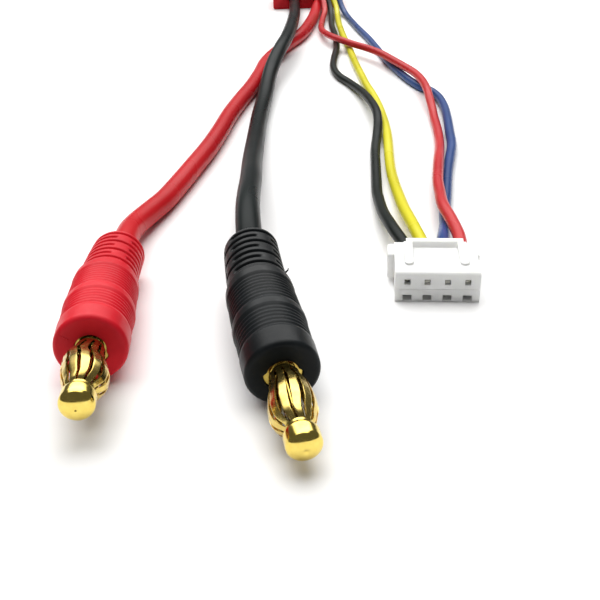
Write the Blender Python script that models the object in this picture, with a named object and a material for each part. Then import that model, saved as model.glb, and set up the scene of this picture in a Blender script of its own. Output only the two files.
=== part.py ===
"""Balance-charging lead for a drone battery.

Two 4 mm lantern-spring banana plugs on thick silicone wires and a four-way
balance plug (2.5 mm pitch) on thin silicone wires join at one battery
connector.  The lead lies on a flat surface, +Z up, plugs towards -Y, battery
connector towards +Y.  The origin is the middle of the footprint of the rigid
pieces, at the surface.  Dimensions below are millimetres.
"""
import math

import bmesh
import bpy
from mathutils import Euler, Matrix, Vector

MM = 0.001

# ------------------------------------------------------------- dimensions
# Banana plugs.  s runs along a plug's axis from the boot's front face,
# positive towards the wire.
BOOT_FRONT_D = 8.0
BOOT_REAR_D = 7.49            # before the step down at the ribs
BOOT_LEN = 25.8
BOOT_TAPER = 2.2             # power: nearly straight in front
BOOT_BELLY = 0.2             # swells by this much, largest at BOOT_BELLY_S
BOOT_BELLY_S = 9.0
BOOT_EDGE = 0.4
BOOT_RECESS_R = 2.4          # mouth round the plug body
BOOT_RECESS_DEPTH = 0.6
BOOT_BARREL_R = 2.3          # bore over the plug body
BOOT_BARREL_LEN = 12.6
BOOT_WIRE_R = 1.95           # bore over the wire
SHOULDER = (15.4, 16.1, 0.28)   # the grip ends: from s, to s, step down
RIB_START = 16.6
RIB_PITCH = 1.3
RIB_SLOT = 0.5
RIB_DEPTH = 0.35
RIB_COUNT = 7
BEND_START = 12.0            # the soft rear follows the wire sideways

PIN_TIP = -11.5              # s of the tip's end
TIP_R = 1.8
TIP_SHOULDER = -8.95         # back of the tip, front stop of the cage
TIP_SHOULDER_R = 1.62
CORE_R = 1.0                 # runs in the cage's front ring
HUB = (-0.8, 1.3)            # front and radius; runs in the cage's rear ring
COLLAR = -0.05               # front of the collar, rear stop of the cage
BARREL_R = 2.12
BARREL_END = 12.0
CUP_R = 1.4
CUP_BOTTOM = 6.5

CAGE_WALL = 0.25
CAGE_LEAVES = 12
CAGE_LEAF_DEG = 23.0
CAGE_REST = {"black": 11.5, "red": 8.5}     # how each cage happens to sit
# The cage's outline (s, outer radius): front ring, bulge, waist, rear ring.
CAGE_OUTLINE = ((-8.65, 1.35), (-8.3, 1.42), (-7.85, 1.85), (-7.2, 2.18),
                (-6.3, 2.42), (-5.0, 2.5), (-3.8, 2.38), (-2.8, 2.18),
                (-1.8, 1.92), (-1.1, 1.73), (-0.8, 1.65), (-0.35, 1.65))

SOLDER_R = (1.0, 1.35)
SOLDER_S = (6.7, 11.8)
STRANDS_R = 0.94             # bared copper of a 14 AWG wire
STRANDS_S = (6.8, 12.8)
WIRE_START = 13.0

MAIN_WIRE_D = 3.5            # 14 AWG silicone
THIN_WIRE_D = 1.8            # 22 AWG silicone

# Where each banana plug lies: middle of the boot's front face, then the turn
# about the vertical and the tilt of the nose (degrees, nose up positive), and
# how far the boot's soft rear end leans to +x.
BLACK_PLUG = ((-0.35, -121.88, 4.05), 10.4, -4.6, 0.6)
RED_PLUG = ((-20.97, -116.65, 4.6), 4.86, 2.2, 0.65)

# Balance plug.  Local x across the ways, y back from the mating face, z up.
BAL_AT = (18.85, -100.75, 0.0)
BAL_TURN = -5.61
BAL_W, BAL_L, BAL_H = 10.6, 9.0, 4.1
BAL_PITCH = 2.5
BAL_WAYS = 4
BAL_PIN_Z = 2.8
BAL_PIN_HOLE = 0.8
BAL_CAVITY_W = 2.0
BAL_CAVITY_Z = (1.3, 3.75)
BAL_FRONT_WALL = 0.9
BAL_RIB = (0.9, 5.5, (0.6, 4.0))        # left: stands out, start y, z range
BAL_KEY = (0.5, 6.4, (2.7, 3.5))         # right: the short one
BAL_BAR = (7.5, 1.25, 4.83)              # width, length, top
BAL_RAIL = (1.14, 3.5, (2.25, 7.9), (4.4, 4.75))   # width, x, y range, top at each end
BAL_NOTCH = (1.15, 2.0, (0.2, 0.95))     # width, depth, z range
BAL_GROOVE = (5.7, 0.5, 0.2)             # width, length, depth
CRIMP_W, CRIMP_H = 1.5, 1.7
CRIMP_S = (1.2, 6.8)
CRIMP_BOX_END = 4.4
CRIMP_WALL = 0.25
THIN_WIRE_START = 7.1

# Battery connector.  Local y from the wire side to the mating face.
CON_AT = (7.6, 112.7, 0.0)
CON_W, CON_H = 23.6, 8.6
CON_COVER_L = 8.0
CON_SHELL_L = 12.0
CON_GAP = 0.3
CON_EDGE = 0.7
CON_POWER = ((-4.4, "black"), (4.2, "red"))
CON_POWER_Z = 2.75
CON_BALANCE = ((3.6, "red"), (5.7, "black"), (7.8, "yellow"), (9.9, "blue"))
CON_BALANCE_Z = 6.4
CON_WIRE_END = 4.5

# Route points of the wires between their plugs, (x, y, z).
ROUTES = {
    "black_main": [
        (-5.3, -83.2, 6.7), (-5.4, -70.0, 5.6), (-5.7, -55.9, 3.9),
        (-5.7, -40.7, 2.5), (-5.4, -22.9, 1.85), (-4.6, -7.7, 2.1),
        (-3.8, 5.9, 3.2), (-2.8, 14.2, 4.3), (-1.3, 23.6, 5.35),
        (0.3, 34.7, 5.65), (1.7, 50.9, 5.5), (2.8, 72.7, 4.6),
        (3.1, 90.0, 3.4), (3.2, 103.0, 2.8)],
    "red_main": [
        (-22.5, -80.4, 2.75), (-21.2, -74.1, 2.2), (-19.5, -67.8, 1.85),
        (-17.9, -60.3, 1.8), (-16.2, -51.6, 1.8), (-14.5, -42.6, 1.8),
        (-13.1, -32.8, 1.8), (-11.7, -20.9, 1.8), (-9.9, -9.8, 1.8),
        (-8.0, 0.6, 1.8), (-6.4, 12.1, 1.8), (-4.9, 25.5, 1.8),
        (-0.8, 42.0, 1.8), (4.7, 59.5, 1.8), (7.9, 77.5, 1.8),
        (9.9, 94.0, 1.85), (11.2, 105.0, 2.5)],
    "black": [
        (15.3, -84.4, 2.75), (14.9, -80.3, 2.4), (14.6, -75.7, 1.9),
        (14.6, -71.2, 1.5), (14.7, -66.0, 1.1), (15.2, -59.6, 0.95),
        (15.8, -52.2, 0.95), (16.5, -44.1, 0.95), (17.5, -36.8, 1.25),
        (18.2, -31.7, 2.2), (18.5, -25.6, 2.7), (18.1, -17.2, 2.55),
        (17.0, -5.2, 1.6), (15.0, 5.2, 0.98), (13.0, 11.9, 0.95),
        (12.1, 20.2, 0.95), (12.7, 30.0, 0.95), (14.1, 43.1, 0.95),
        (14.6, 57.8, 0.95), (14.4, 76.1, 0.95), (14.9, 88.0, 1.25),
        (15.0, 96.0, 2.6), (14.3, 102.6, 4.85)],
    "yellow": [
        (18.3, -84.2, 2.7), (18.2, -79.4, 2.2), (18.0, -74.6, 1.8),
        (18.0, -69.6, 1.4), (18.0, -62.9, 1.05), (18.1, -56.5, 0.95),
        (18.5, -49.9, 0.95), (19.1, -42.7, 0.95), (19.7, -34.9, 0.95),
        (20.0, -26.3, 0.95), (20.0, -16.1, 0.95), (19.6, -6.4, 0.95),
        (18.9, 2.5, 0.95), (18.5, 12.1, 0.95), (18.0, 23.6, 0.95),
        (17.6, 41.3, 0.95), (17.0, 58.9, 0.95), (16.8, 77.3, 0.95),
        (17.0, 90.0, 1.3), (17.0, 97.0, 2.7), (16.1, 103.5, 5.0)],
    "red": [
        (23.9, -87.6, 3.05), (23.8, -84.5, 3.2), (23.7, -81.5, 3.25),
        (23.45, -78.5, 3.3), (23.5, -75.5, 3.15), (23.95, -71.4, 2.8),
        (24.6, -65.2, 2.6), (25.6, -59.4, 2.4), (26.7, -53.3, 2.15),
        (27.9, -47.0, 1.5), (29.0, -40.2, 0.98), (29.7, -34.1, 0.95),
        (30.3, -26.1, 0.98), (30.8, -19.4, 1.55), (30.9, -14.9, 2.4),
        (31.1, -10.1, 2.85), (31.1, -2.8, 2.95), (30.4, 4.2, 2.95),
        (28.9, 10.4, 2.95), (26.8, 18.1, 2.95), (24.6, 25.7, 2.95),
        (21.8, 32.0, 2.95), (18.3, 38.1, 2.95), (14.7, 45.3, 2.95),
        (12.2, 53.9, 2.5), (10.9, 67.3, 1.6), (12.0, 84.0, 1.6),
        (13.0, 92.0, 2.6), (12.7, 100.0, 4.9), (11.7, 106.0, 6.0)],
    "blue": [
        (21.9, -86.5, 2.25), (22.7, -83.0, 1.6), (23.5, -79.3, 1.2),
        (24.1, -75.4, 1.0),
        (24.75, -71.9, 0.95), (25.6, -67.8, 0.95), (26.5, -63.1, 0.95),
        (27.7, -57.0, 0.95), (29.3, -49.9, 0.95), (30.9, -42.8, 0.95),
        (31.8, -35.6, 0.95), (33.0, -25.7, 0.95), (33.8, -17.0, 0.95),
        (33.8, -9.8, 0.95), (32.9, -4.7, 0.95), (31.2, -0.9, 0.95),
        (29.5, 5.3, 0.95), (27.8, 14.8, 0.95), (26.3, 26.3, 0.95),
        (25.1, 40.8, 0.95), (23.9, 54.9, 0.95), (22.1, 69.9, 0.95),
        (20.3, 88.4, 0.98), (19.7, 94.0, 1.35), (18.9, 99.0, 2.6),
        (18.1, 104.3, 5.0)],
}
MAIN_WIRE_POINTS = 28
THIN_WIRE_POINTS = 42

LATHE_STEPS = 24


# ------------------------------------------------------------- helpers
def clear_scene():
    for obj in list(bpy.data.objects):
        bpy.data.objects.remove(obj, do_unlink=True)


def material(name, rgb, roughness, metallic=0.0):
    mat = bpy.data.materials.new(name)
    mat.use_nodes = True
    bsdf = mat.node_tree.nodes["Principled BSDF"]
    bsdf.inputs["Base Color"].default_value = (*rgb, 1.0)
    bsdf.inputs["Roughness"].default_value = roughness
    bsdf.inputs["Metallic"].default_value = metallic
    mat.diffuse_color = (*rgb, 1.0)
    return mat


def link(name, bm, mat, parent=None, smooth=True):
    bmesh.ops.recalc_face_normals(bm, faces=bm.faces)
    mesh = bpy.data.meshes.new(name)
    bm.to_mesh(mesh)
    bm.free()
    obj = bpy.data.objects.new(name, mesh)
    bpy.context.scene.collection.objects.link(obj)
    if mat is not None:
        mesh.materials.append(mat)
    if smooth:
        mesh.shade_smooth()
        mesh.set_sharp_from_angle(angle=math.radians(35))
    obj.parent = parent
    return obj


def empty(name, at, turn_deg=0.0, nose_deg=0.0):
    """Holds one plug's pieces; its origin and -Y axis are the plug's axis."""
    obj = bpy.data.objects.new(name, None)
    obj.empty_display_size = 0.005
    obj.location = Vector(at) * MM
    obj.rotation_euler = Euler((math.radians(-nose_deg), 0.0,
                                math.radians(turn_deg)), "XYZ")
    bpy.context.scene.collection.objects.link(obj)
    return obj


def lathe(name, profile, mat, parent, x=0.0, z=0.0, steps=LATHE_STEPS,
          through=False):
    """Turn a profile of (s, r) points about the plug's axis.

    A solid's profile starts and ends on the axis; a through-hole's profile
    is a closed loop.
    """
    bm = bmesh.new()
    verts = [bm.verts.new((r * MM, s * MM, 0.0)) for s, r in profile]
    for a, b in zip(verts, verts[1:]):
        bm.edges.new((a, b))
    if through:
        bm.edges.new((verts[-1], verts[0]))
    bmesh.ops.spin(bm, geom=bm.verts[:] + bm.edges[:], cent=(0, 0, 0),
                   axis=(0, 1, 0), angle=math.tau, steps=steps,
                   use_merge=True, use_duplicate=False)
    bmesh.ops.remove_doubles(bm, verts=bm.verts, dist=1e-6)
    bmesh.ops.translate(bm, verts=bm.verts, vec=(x * MM, 0.0, z * MM))
    return link(name, bm, mat, parent)


def block(name, lo, hi, mat, parent, edge=0.0, cutter=False):
    """A box from corner lo to corner hi, with its edges rounded by edge."""
    bm = bmesh.new()
    bmesh.ops.create_cube(bm, size=1.0)
    lo, hi = Vector(lo) * MM, Vector(hi) * MM
    bmesh.ops.scale(bm, verts=bm.verts, vec=hi - lo)
    bmesh.ops.translate(bm, verts=bm.verts, vec=(lo + hi) / 2)
    if edge:
        bmesh.ops.bevel(bm, geom=bm.edges[:], offset=edge * MM, segments=2,
                        profile=0.5, affect="EDGES")
    obj = link(name, bm, mat, parent, smooth=bool(edge))
    if cutter:
        hide_cutter(obj)
    return obj


def blocks(name, boxes, parent):
    """Several separate boxes in one cutter."""
    bm = bmesh.new()
    for lo, hi in boxes:
        lo, hi = Vector(lo) * MM, Vector(hi) * MM
        made = bmesh.ops.create_cube(bm, size=1.0)["verts"]
        bmesh.ops.scale(bm, verts=made, vec=hi - lo)
        bmesh.ops.translate(bm, verts=made, vec=(lo + hi) / 2)
    obj = link(name, bm, None, parent, smooth=False)
    hide_cutter(obj)
    return obj


def rods(name, ends, parent, steps=20):
    """Several separate round rods along y in one cutter: (x, z, r, y0, y1)."""
    bm = bmesh.new()
    for x, z, r, y0, y1 in ends:
        made = bmesh.ops.create_cone(
            bm, cap_ends=True, segments=steps, radius1=r * MM, radius2=r * MM,
            depth=(y1 - y0) * MM)["verts"]
        bmesh.ops.rotate(bm, verts=made, cent=(0, 0, 0),
                         matrix=Matrix.Rotation(math.pi / 2, 3, "X"))
        bmesh.ops.translate(bm, verts=made,
                            vec=(x * MM, (y0 + y1) / 2 * MM, z * MM))
    obj = link(name, bm, None, parent, smooth=False)
    hide_cutter(obj)
    return obj


def hide_cutter(obj):
    obj.hide_render = True
    obj.display_type = "WIRE"


def boolean(obj, other, operation):
    mod = obj.modifiers.new(other.name, "BOOLEAN")
    mod.operation = operation
    mod.solver = "EXACT"
    mod.object = other


# ------------------------------------------------------------- wires
def smooth_route(points, step=0.4):
    """Centripetal Catmull-Rom curve through the route's points."""
    pts = [Vector(p) for p in points]
    pts = [2 * pts[0] - pts[1]] + pts + [2 * pts[-1] - pts[-2]]
    out = []
    for p0, p1, p2, p3 in zip(pts, pts[1:], pts[2:], pts[3:]):
        t0 = 0.0
        t1 = t0 + math.sqrt((p1 - p0).length)
        t2 = t1 + math.sqrt((p2 - p1).length)
        t3 = t2 + math.sqrt((p3 - p2).length)
        count = max(2, int((p2 - p1).length / step))
        for k in range(count):
            t = t1 + (t2 - t1) * k / count
            a1 = p0.lerp(p1, (t - t0) / (t1 - t0))
            a2 = p1.lerp(p2, (t - t1) / (t2 - t1))
            a3 = p2.lerp(p3, (t - t2) / (t3 - t2))
            b1 = a1.lerp(a2, (t - t0) / (t2 - t0))
            b2 = a2.lerp(a3, (t - t1) / (t3 - t1))
            out.append(b1.lerp(b2, (t - t1) / (t2 - t1)))
    out.append(pts[-2])
    return out


def even_points(path, count):
    """count points at equal distances along a path."""
    run = [0.0]
    for a, b in zip(path, path[1:]):
        run.append(run[-1] + (b - a).length)
    out, k = [], 0
    for i in range(count):
        want = run[-1] * i / (count - 1)
        while k < len(run) - 2 and run[k + 1] < want:
            k += 1
        out.append(path[k].lerp(path[k + 1],
                                (want - run[k]) / (run[k + 1] - run[k])))
    return out


def wire(name, points, diameter, count, mat):
    curve = bpy.data.curves.new(name, "CURVE")
    curve.dimensions = "3D"
    curve.bevel_depth = diameter / 2 * MM
    curve.bevel_resolution = 2
    curve.render_resolution_u = 0
    curve.use_fill_caps = True
    spline = curve.splines.new("POLY")
    path = even_points(smooth_route(points), count)
    spline.points.add(len(path) - 1)
    for point, at in zip(spline.points, path):
        point.co = (*(at * MM), 1.0)
    curve.materials.append(mat)
    obj = bpy.data.objects.new(name, curve)
    bpy.context.scene.collection.objects.link(obj)
    return obj


def on_plug(plug, distances):
    """Points on a banana plug's axis, from the boot's front face."""
    at, turn, nose, lean = plug
    rot = Euler((math.radians(-nose), 0, math.radians(turn)), "XYZ").to_matrix()
    return [Vector(at) + rot @ Vector((boot_lean(s, lean), s, 0))
            for s in distances]


def on_balance(x, distances):
    rot = Euler((0, 0, math.radians(BAL_TURN))).to_matrix()
    return [Vector(BAL_AT) + rot @ Vector((x, y, BAL_PIN_Z)) for y in distances]


def on_connector(x, z, distances):
    return [Vector(CON_AT) + Vector((x, y, z)) for y in distances]


# ------------------------------------------------------------- banana plug
def boot_radius(s):
    taper = (s / BOOT_LEN) ** BOOT_TAPER
    belly = math.sin(math.pi * min(s / (2 * BOOT_BELLY_S), 1.0))
    s0, s1, step = SHOULDER
    down = step * min(max((s - s0) / (s1 - s0), 0.0), 1.0)
    return ((BOOT_FRONT_D + (BOOT_REAR_D - BOOT_FRONT_D) * taper) / 2
            + BOOT_BELLY * belly - down)


def boot_lean(s, lean):
    """Sideways shift of the boot's soft rear and of the wire in it."""
    t = max(s - BEND_START, 0.0) / (BOOT_LEN - BEND_START)
    return lean * (t * t if t < 1 else 2 * t - 1)


def boot_profile():
    out = [(0.0, BOOT_RECESS_R), (0.0, boot_radius(0) - BOOT_EDGE),
           (BOOT_EDGE, boot_radius(BOOT_EDGE))]
    out += [(s, boot_radius(s)) for s in (3.0, 6.0, 9.0, 12.0, *SHOULDER[:2])]
    for i in range(RIB_COUNT):
        a = RIB_START + i * RIB_PITCH
        b = a + RIB_SLOT
        out += [(a, boot_radius(a)), (a, boot_radius(a) - RIB_DEPTH),
                (b, boot_radius(b) - RIB_DEPTH), (b, boot_radius(b))]
    out += [(BOOT_LEN - BOOT_EDGE, boot_radius(BOOT_LEN)),
            (BOOT_LEN, boot_radius(BOOT_LEN) - BOOT_EDGE),
            (BOOT_LEN, BOOT_WIRE_R), (BOOT_BARREL_LEN, BOOT_WIRE_R),
            (BOOT_BARREL_LEN, BOOT_BARREL_R),
            (BOOT_RECESS_DEPTH, BOOT_BARREL_R),
            (BOOT_RECESS_DEPTH, BOOT_RECESS_R)]
    return out


def body_profile():
    """Domed tip, neck, core under the cage, collar, barrel, solder cup."""
    out = [(PIN_TIP, 0.0), (PIN_TIP + 0.07, 0.65), (PIN_TIP + 0.26, 1.18),
           (PIN_TIP + 0.56, 1.58), (PIN_TIP + 1.05, TIP_R),
           (TIP_SHOULDER - 0.4, TIP_R), (TIP_SHOULDER - 0.1, TIP_R - 0.06),
           (TIP_SHOULDER, TIP_SHOULDER_R), (TIP_SHOULDER, CORE_R),
            (HUB[0] - 0.15, CORE_R), (HUB[0], HUB[1] - 0.15),
            (HUB[0] + 0.15, HUB[1]), (COLLAR, HUB[1]), (COLLAR, BARREL_R), (BARREL_END, BARREL_R),
            (BARREL_END, CUP_R), (CUP_BOTTOM, CUP_R), (CUP_BOTTOM, 0.0)]
    return out


def contact_cage(name, mat, parent, rest):
    """Lantern spring: two rings joined by bowed leaves, one closed body."""
    leaf = math.radians(CAGE_LEAF_DEG)
    pitch = math.tau / CAGE_LEAVES
    angles = []
    for i in range(CAGE_LEAVES):
        a = i * pitch + math.radians(rest)
        angles += [a, a + leaf / 2, a + leaf]
    stations = list(CAGE_OUTLINE)
    bm = bmesh.new()

    def ring_of(s, r):
        return [bm.verts.new((r * math.cos(a) * MM, s * MM,
                              r * math.sin(a) * MM)) for a in angles]

    outer = [ring_of(s, r) for s, r in stations]
    inner = [ring_of(s, r - CAGE_WALL) for s, r in stations]
    n, last = len(angles), len(stations) - 2

    def solid(i, j):
        return i in (0, last) or j % 3 != 2

    for i in range(last + 1):
        for j in range(n):
            k = (j + 1) % n
            if not solid(i, j):
                continue
            bm.faces.new((outer[i][j], outer[i][k],
                          outer[i + 1][k], outer[i + 1][j]))
            bm.faces.new((inner[i][j], inner[i + 1][j],
                          inner[i + 1][k], inner[i][k]))
            if i == 0 or not solid(i - 1, j):
                bm.faces.new((outer[i][j], inner[i][j],
                              inner[i][k], outer[i][k]))
            if i == last or not solid(i + 1, j):
                bm.faces.new((outer[i + 1][j], outer[i + 1][k],
                              inner[i + 1][k], inner[i + 1][j]))
            if not solid(i, (j - 1) % n):
                bm.faces.new((outer[i][j], outer[i + 1][j],
                              inner[i + 1][j], inner[i][j]))
            if not solid(i, k):
                bm.faces.new((outer[i][k], inner[i][k],
                              inner[i + 1][k], outer[i + 1][k]))
    return link(name, bm, mat, parent)


def banana_plug(colour, plug, boot_mat, gold, tin, copper):
    at, turn, nose, lean = plug
    holder = empty(f"{colour}_plug_axis", at, turn, nose)
    boot = lathe(f"{colour}_boot", boot_profile(), boot_mat, holder,
                 through=True)
    for vert in boot.data.vertices:
        vert.co.x += boot_lean(vert.co.y / MM, lean) * MM
    lathe(f"{colour}_plug_body", body_profile(), gold, holder)
    contact_cage(f"{colour}_contact_cage", gold, holder, CAGE_REST[colour])
    (r0, r1), (s0, s1) = SOLDER_R, SOLDER_S
    lathe(f"{colour}_solder", [(s0, r0), (s0, r1), (s1, r1), (s1, r0)],
          tin, holder, steps=20, through=True)
    s0, s1 = STRANDS_S
    lathe(f"{colour}_wire_strands",
          [(s0, 0.0), (s0, STRANDS_R), (s1, STRANDS_R), (s1, 0.0)],
          copper, holder, steps=16)


# ------------------------------------------------------------- balance plug
def way_x(i):
    return (i - (BAL_WAYS - 1) / 2) * BAL_PITCH


def balance_plug(nylon, tin):
    holder = empty("balance_plug_place", BAL_AT, BAL_TURN)
    half = BAL_W / 2
    body = block("balance_housing", (-half, 0, 0), (half, BAL_L, BAL_H),
                 nylon, holder, edge=0.2)

    out, y0, (z0, z1) = BAL_RIB
    side = block("side_rib", (-half - out, y0, z0), (-half + 1, BAL_L - 0.3, z1),
                 None, holder, cutter=True)
    boolean(body, side, "UNION")
    out, y0, (z0, z1) = BAL_KEY
    side = block("side_key", (half - 0.35, y0, z0), (half + out, BAL_L - 0.3, z1),
                 None, holder, cutter=True)
    boolean(body, side, "UNION")
    w, length, top = BAL_BAR
    bar = block("rear_bar", (-w / 2, BAL_L - length, 2.5),
                (w / 2, BAL_L - 0.05, top), None, holder, cutter=True)
    boolean(body, bar, "UNION")

    w, x, (y0, y1), (z0, z1) = BAL_RAIL
    bm = bmesh.new()
    for sx in (-x, x):                      # rounded front, top rising to the bar
        foot = [(-w / 2, y1), (-w / 2, y0 + w / 2)]
        for deg in (45, 90, 135):
            a = math.radians(deg)
            foot.append((-w / 2 * math.cos(a), y0 + w / 2 - w / 2 * math.sin(a)))
        foot += [(w / 2, y0 + w / 2), (w / 2, y1)]
        low = [bm.verts.new(((sx + px) * MM, py * MM, (BAL_H - 1.0) * MM))
               for px, py in foot]
        top = [bm.verts.new(((sx + px) * MM, py * MM,
                             (z0 + (z1 - z0) * (py - y0) / (y1 - y0)) * MM))
               for px, py in foot]
        n = len(foot)
        for k in range(n):
            m = (k + 1) % n
            bm.faces.new((low[k], low[m], top[m], top[k]))
        bm.faces.new(top)
        bm.faces.new(low[::-1])
    bmesh.ops.recalc_face_normals(bm, faces=bm.faces)
    rails = link("guide_rails", bm, None, holder, smooth=False)
    hide_cutter(rails)
    boolean(body, rails, "UNION")

    xs = [way_x(i) for i in range(BAL_WAYS)]
    half_w = BAL_CAVITY_W / 2
    z0, z1 = BAL_CAVITY_Z
    cavities = blocks("wire_cavities", [
        ((x - half_w, BAL_FRONT_WALL, z0), (x + half_w, BAL_L + 1, z1))
        for x in xs], holder)
    boolean(body, cavities, "DIFFERENCE")
    h = BAL_PIN_HOLE / 2
    holes = blocks("pin_holes", [
        ((x - h, -1, BAL_PIN_Z - h), (x + h, BAL_FRONT_WALL + 0.5, BAL_PIN_Z + h))
        for x in xs], holder)
    boolean(body, holes, "DIFFERENCE")
    w, deep, (z0, z1) = BAL_NOTCH
    notches = blocks("lance_windows", [
        ((x - w / 2, -1, z0), (x + w / 2, deep, z1)) for x in xs], holder)
    boolean(body, notches, "DIFFERENCE")
    w, length, deep = BAL_GROOVE
    y1 = BAL_L - BAL_BAR[1]
    groove = block("top_groove", (-w / 2, y1 - length, BAL_H - deep),
                   (w / 2, y1, BAL_H + 1), None, holder, cutter=True)
    boolean(body, groove, "DIFFERENCE")

    half_w, half_h, t = CRIMP_W / 2, CRIMP_H / 2, CRIMP_WALL
    z = BAL_PIN_Z - 0.15
    y0, y1 = CRIMP_S
    for x, colour in zip(xs, ("black", "yellow", "blue", "red")):
        crimp = block(f"balance_contact_{colour}",
                      (x - half_w, y0, z - half_h), (x + half_w, y1, z + half_h),
                      tin, holder)
        bore = blocks(f"contact_bore_{colour}", [
            ((x - half_w + t, y0 - 1, z - half_h + t),
             (x + half_w - t, y1 + 1, z + half_h - t))], holder)
        boolean(crimp, bore, "DIFFERENCE")
        mouth = blocks(f"contact_barrel_{colour}", [
            ((x - half_w + t, CRIMP_BOX_END, z),
             (x + half_w - t, y1 + 1, z + half_h + 1))], holder)
        boolean(crimp, mouth, "DIFFERENCE")


# ------------------------------------------------------------- battery side
def battery_connector(red_plastic, gold):
    holder = empty("battery_connector_place", CON_AT)
    half = CON_W / 2
    y1 = CON_COVER_L
    y2 = y1 + CON_SHELL_L
    cover = block("battery_connector_cover", (-half, 0, 0),
                  (half, y1 - CON_GAP / 2, CON_H), red_plastic, holder,
                  edge=CON_EDGE)
    shell = block("battery_connector_shell", (-half, y1 + CON_GAP / 2, 0),
                  (half, y2, CON_H), red_plastic, holder, edge=CON_EDGE)
    wire_r, thin_r = MAIN_WIRE_D / 2 + 0.2, THIN_WIRE_D / 2 + 0.1
    holes = rods("cover_holes",
                 [(x, CON_POWER_Z, wire_r, -1, y1 + 1) for x, _ in CON_POWER]
                 + [(x, CON_BALANCE_Z, thin_r, -1, y1 + 1)
                    for x, _ in CON_BALANCE], holder)
    boolean(cover, holes, "DIFFERENCE")
    bores = rods("shell_bores",
                 [(x, CON_POWER_Z, 2.15, y1 - 1, y2 + 1) for x, _ in CON_POWER]
                 + [(x, CON_BALANCE_Z, 0.9, y1 - 1, y2 + 1)
                    for x, _ in CON_BALANCE], holder)
    boolean(shell, bores, "DIFFERENCE")
    for x, colour in CON_POWER:
        lathe(f"battery_power_contact_{colour}",
              [(5.0, 1.2), (5.0, 1.65), (y1 + 0.4, 1.65), (y1 + 0.4, 2.0),
               (y2 - 1.0, 2.0), (y2 - 1.0, 1.5), (y1 + 2.0, 1.5),
               (y1 + 2.0, 1.2)],
              gold, holder, x=x, z=CON_POWER_Z, steps=20, through=True)
    for x, colour in CON_BALANCE:
        lathe(f"battery_balance_contact_{colour}",
              [(5.0, 0.3), (5.0, 0.75), (y2 - 1.0, 0.75), (y2 - 1.0, 0.3)],
              gold, holder, x=x, z=CON_BALANCE_Z, steps=12, through=True)


# ------------------------------------------------------------- the lead
def build():
    clear_scene()
    red_pvc = material("red_pvc", (0.72, 0.03, 0.05), 0.38)
    black_pvc = material("black_pvc", (0.02, 0.022, 0.023), 0.42)
    gold = material("gold_plate", (0.83, 0.62, 0.24), 0.18, 1.0)
    tin = material("tin", (0.72, 0.72, 0.70), 0.3, 1.0)
    copper = material("copper", (0.80, 0.42, 0.28), 0.35, 1.0)
    nylon = material("white_nylon", (0.9, 0.9, 0.88), 0.4)
    red_plastic = material("red_plastic", (0.6, 0.03, 0.04), 0.35)
    silicone = {
        "black": material("black_silicone", (0.03, 0.033, 0.035), 0.5),
        "red": material("red_silicone", (0.65, 0.03, 0.04), 0.48),
        "yellow": material("yellow_silicone", (0.75, 0.68, 0.04), 0.48),
        "blue": material("blue_silicone", (0.03, 0.1, 0.33), 0.48),
    }
    banana_plug("red", RED_PLUG, red_pvc, gold, tin, copper)
    banana_plug("black", BLACK_PLUG, black_pvc, gold, tin, copper)
    balance_plug(nylon, tin)
    battery_connector(red_plastic, gold)

    start = (WIRE_START, 19.0, BOOT_LEN, 30.0)
    end = (-3.5, 0.0, CON_WIRE_END)
    for (x, colour), plug in zip(CON_POWER, (BLACK_PLUG, RED_PLUG)):
        points = (on_plug(plug, start) + ROUTES[f"{colour}_main"]
                  + on_connector(x, CON_POWER_Z, end))
        wire(f"{colour}_main_wire", points, MAIN_WIRE_D, MAIN_WIRE_POINTS,
             silicone[colour])
    start = (THIN_WIRE_START, BAL_L, 10.4)
    ways = dict(zip(("black", "yellow", "blue", "red"),
                    (way_x(i) for i in range(BAL_WAYS))))
    for x, colour in CON_BALANCE:
        points = (on_balance(ways[colour], start) + ROUTES[colour]
                  + on_connector(x, CON_BALANCE_Z, end))
        wire(f"{colour}_balance_wire", points, THIN_WIRE_D, THIN_WIRE_POINTS,
             silicone[colour])


build()
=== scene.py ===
"""Looks of the balance-charging lead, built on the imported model."""
import math

import bmesh
import bpy
from mathutils import Euler, Matrix, Vector


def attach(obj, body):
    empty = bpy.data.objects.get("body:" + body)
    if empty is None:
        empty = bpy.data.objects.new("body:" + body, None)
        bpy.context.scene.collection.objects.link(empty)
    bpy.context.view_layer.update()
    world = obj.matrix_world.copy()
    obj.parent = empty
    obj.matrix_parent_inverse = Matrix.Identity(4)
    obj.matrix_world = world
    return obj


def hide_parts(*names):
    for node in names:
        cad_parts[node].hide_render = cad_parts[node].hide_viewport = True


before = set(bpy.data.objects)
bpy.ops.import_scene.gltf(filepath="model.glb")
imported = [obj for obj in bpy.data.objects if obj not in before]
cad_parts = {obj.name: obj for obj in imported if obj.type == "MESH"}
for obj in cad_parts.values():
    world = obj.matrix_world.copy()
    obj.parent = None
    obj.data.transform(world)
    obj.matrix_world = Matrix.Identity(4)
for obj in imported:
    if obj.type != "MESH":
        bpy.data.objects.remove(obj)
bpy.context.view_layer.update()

MM = 0.001
SCENE = bpy.context.scene

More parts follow.
